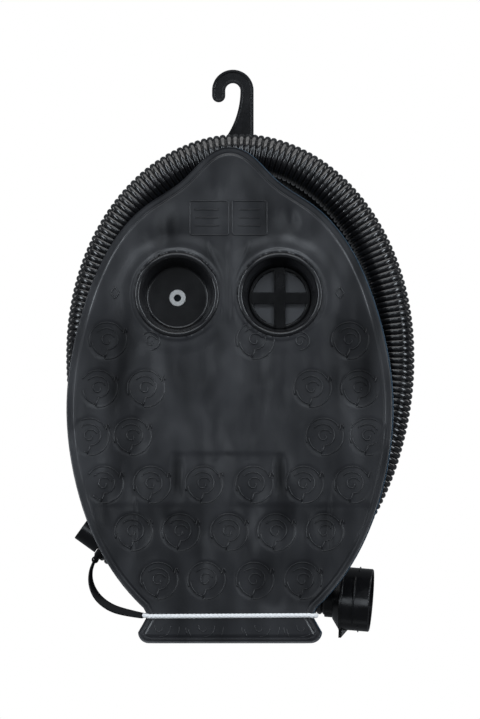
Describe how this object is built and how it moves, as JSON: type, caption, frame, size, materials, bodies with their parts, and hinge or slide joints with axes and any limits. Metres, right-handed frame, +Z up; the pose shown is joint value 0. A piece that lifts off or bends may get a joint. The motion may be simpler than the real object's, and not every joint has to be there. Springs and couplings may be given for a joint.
{
  "type": "pool cleaner",
  "caption": "Suction pool cleaner: oval flat mat with a domed cover, an inlet with a cross guard, a turning hose spigot, and its ribbed hose coiled behind it, hanging from a hook.",
  "frame": {"origin": "saddle of the hanger hook, where it rests on a peg", "axes": "+Z up towards the hook, +Y from the mat's underside towards the coiled hose"},
  "size_m": [0.3566, 0.1954, 0.5862],
  "materials": {
    "black_skin": "satin moulded",
    "blue_skin": "satin moulded",
    "black_moulding": "glossy moulded",
    "grey_moulding": "satin moulded",
    "hose_plastic": "glossy corrugated",
    "seal_rubber": "matte",
    "screw_steel": "brushed",
    "white_nylon": "satin",
    "float_foam": "closed-cell foam",
    "weight_iron": "coated",
    "strap_plastic": "satin",
    "white_cord": "braided"
  },
  "bodies": {
    "cleaner": {"floor_mat": "black_skin", "drain_cup": "black_moulding", "inlet_cup": "black_moulding", "top_cover": "blue_skin", "inlet_guard": "black_moulding", "throat_gasket": "seal_rubber", "throat_housing": "black_moulding", "throat_screws": "screw_steel", "flap_pin": "screw_steel", "swivel_bush": "white_nylon", "drain_eyelet": "white_nylon", "eyelet_washer": "white_nylon", "nose_float": "float_foam", "tail_weight": "weight_iron", "weight_screws": "screw_steel", "hanger_hook": "black_moulding", "hanger_screws": "screw_steel", "hose_coil": "hose_plastic", "hose_cuff_tail": "hose_plastic", "hose_adapter_tail": "hose_plastic", "cuff_nipple": "black_moulding", "adapter_ferrule": "black_moulding", "storage_strap": "strap_plastic", "neck_cord": "white_cord"},
    "flap": {"inlet_flap": "grey_moulding"},
    "swivel": {"hose_spigot": "black_moulding", "swivel_washer": "white_nylon", "spigot_clip": "screw_steel"},
    "cuff": {"hose_cuff": "black_moulding"},
    "adapter": {"hose_adapter": "black_moulding", "adapter_seal": "seal_rubber"}
  },
  "joints": [
    {"name": "flap_swing", "type": "hinge", "parent": "cleaner", "child": "flap", "pos_m": [0.0473, -0.0294, -0.196], "axis": [1, 0, 0], "range_deg": [0, 35]},
    {"name": "spigot_turn", "type": "hinge", "parent": "cleaner", "child": "swivel", "pos_m": [0.0473, 0.01, -0.22], "axis": [0, 1, 0], "continuous": true},
    {"name": "cuff_turn", "type": "hinge", "parent": "cleaner", "child": "cuff", "pos_m": [-0.1502, -0.0445, -0.4487], "axis": [0.8121, 0, -0.5835], "continuous": true},
    {"name": "adapter_turn", "type": "hinge", "parent": "cleaner", "child": "adapter", "pos_m": [0.1133, 0.086, -0.5312], "axis": [0.9916, -0.1042, -0.0767], "continuous": true}
  ]
}
